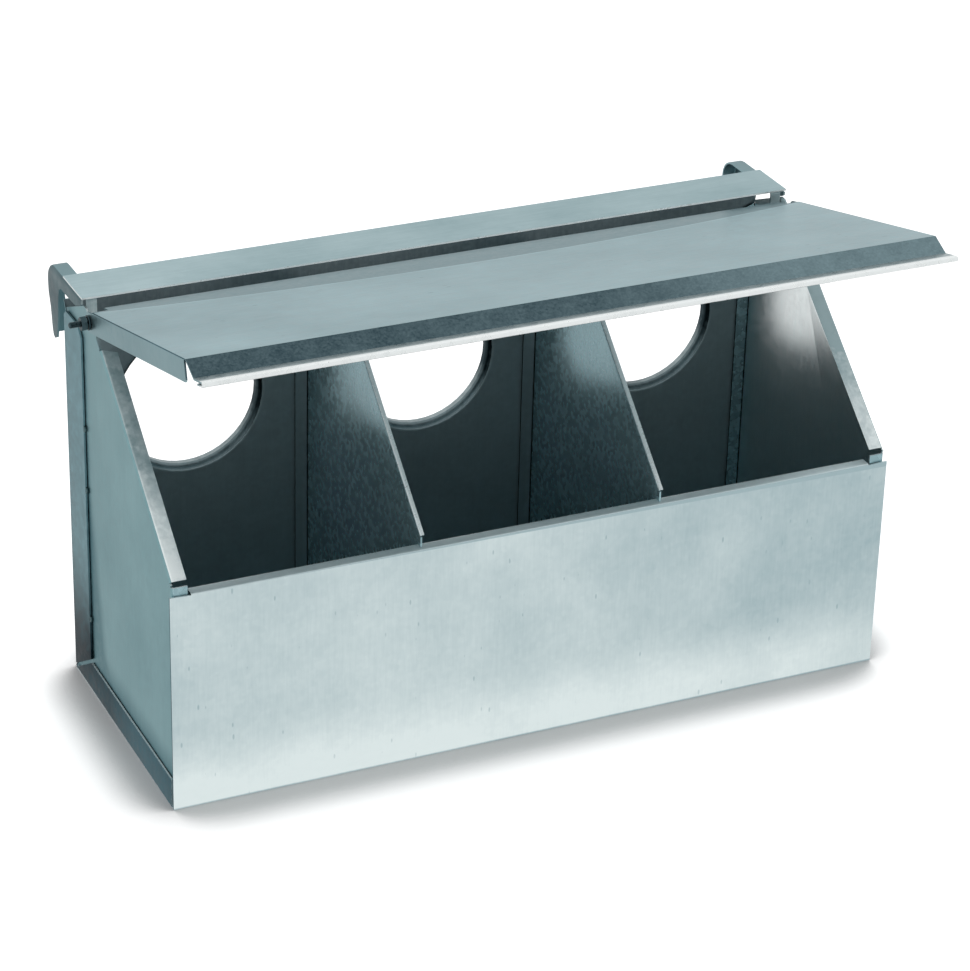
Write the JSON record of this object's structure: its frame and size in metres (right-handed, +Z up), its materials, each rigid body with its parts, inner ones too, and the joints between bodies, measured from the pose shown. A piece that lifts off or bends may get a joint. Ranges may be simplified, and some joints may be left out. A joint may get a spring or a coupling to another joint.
{
  "type": "game bird feeder",
  "caption": "Galvanised sheet trough that hooks on the outside of a cage: collared feeding holes in its back, dividers between the compartments and a hinged lid.",
  "frame": {"origin": "middle of the underside of the floor", "axes": "+X along the trough to the right, +Y towards the cage, +Z up"},
  "size_m": [0.316, 0.1737, 0.1959],
  "materials": {
    "galvanised_sheet": "hot-dip galvanised cold-rolled sheet, satin with a faint mottle",
    "zinc_plated_steel": "zinc-plated fasteners"
  },
  "bodies": {
    "root": {"tray": "galvanised_sheet", "back_panel": "galvanised_sheet", "side_left": "galvanised_sheet", "side_right": "galvanised_sheet", "divider_left": "galvanised_sheet", "divider_right": "galvanised_sheet", "top_rail": "galvanised_sheet", "hook_bracket_left": "galvanised_sheet", "hook_bracket_right": "galvanised_sheet", "pivot_bolt_left": "zinc_plated_steel", "pivot_bolt_right": "zinc_plated_steel", "inner_washer_left": "zinc_plated_steel", "inner_washer_right": "zinc_plated_steel", "outer_washer_left": "zinc_plated_steel", "outer_washer_right": "zinc_plated_steel", "pivot_nut_left": "zinc_plated_steel", "pivot_nut_right": "zinc_plated_steel"},
    "lid": {"lid": "galvanised_sheet"}
  },
  "joints": [
    {"name": "lid_hinge", "type": "hinge", "parent": "root", "child": "lid", "pos_m": [0, 0.026, 0.165], "axis": [-1, 0, 0], "range_deg": [-55.5, 100]}
  ]
}
